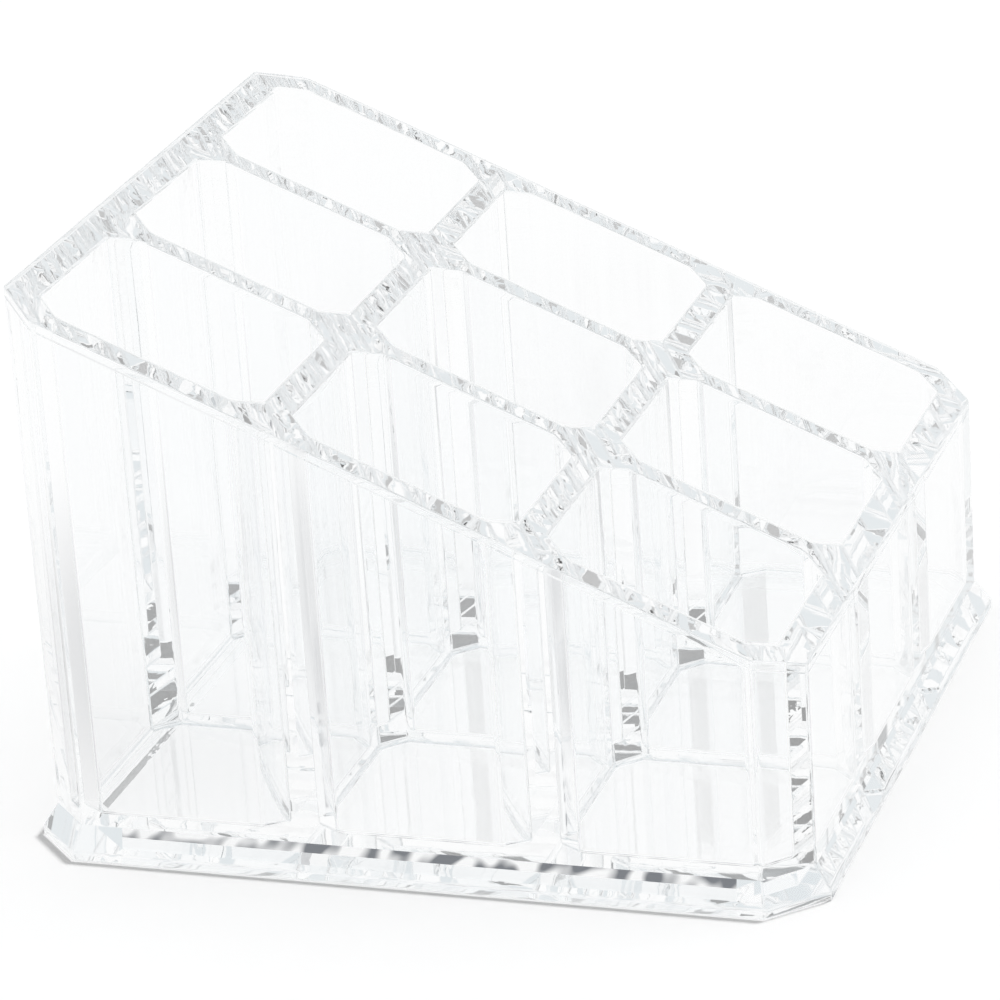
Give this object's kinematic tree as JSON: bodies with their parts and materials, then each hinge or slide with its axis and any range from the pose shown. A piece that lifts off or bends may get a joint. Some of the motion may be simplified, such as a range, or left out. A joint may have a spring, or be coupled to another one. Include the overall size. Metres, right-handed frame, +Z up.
{
  "type": "vanity organizer",
  "caption": "Clear square countertop organizer with upright corner-cut wells for lipsticks and small cosmetics, a top that slopes from a tall back to a low front, and a flared foot.",
  "frame": {"origin": "middle of the base's underside, on the surface it stands on", "axes": "+Z up, +Y towards the tall back, -Y towards the low front, +X to the right seen from the front"},
  "size_m": [0.0896, 0.0896, 0.064],
  "materials": {
    "clear_plastic": "clear, colourless and polished"
  },
  "bodies": {
    "root": {"base_tray": "clear_plastic", "outer_casing": "clear_plastic", "well_front_left": "clear_plastic", "well_front_middle": "clear_plastic", "well_front_right": "clear_plastic", "well_middle_left": "clear_plastic", "well_centre": "clear_plastic", "well_middle_right": "clear_plastic", "well_back_left": "clear_plastic", "well_back_middle": "clear_plastic", "well_back_right": "clear_plastic", "top_frame": "clear_plastic"}
  },
  "joints": []
}
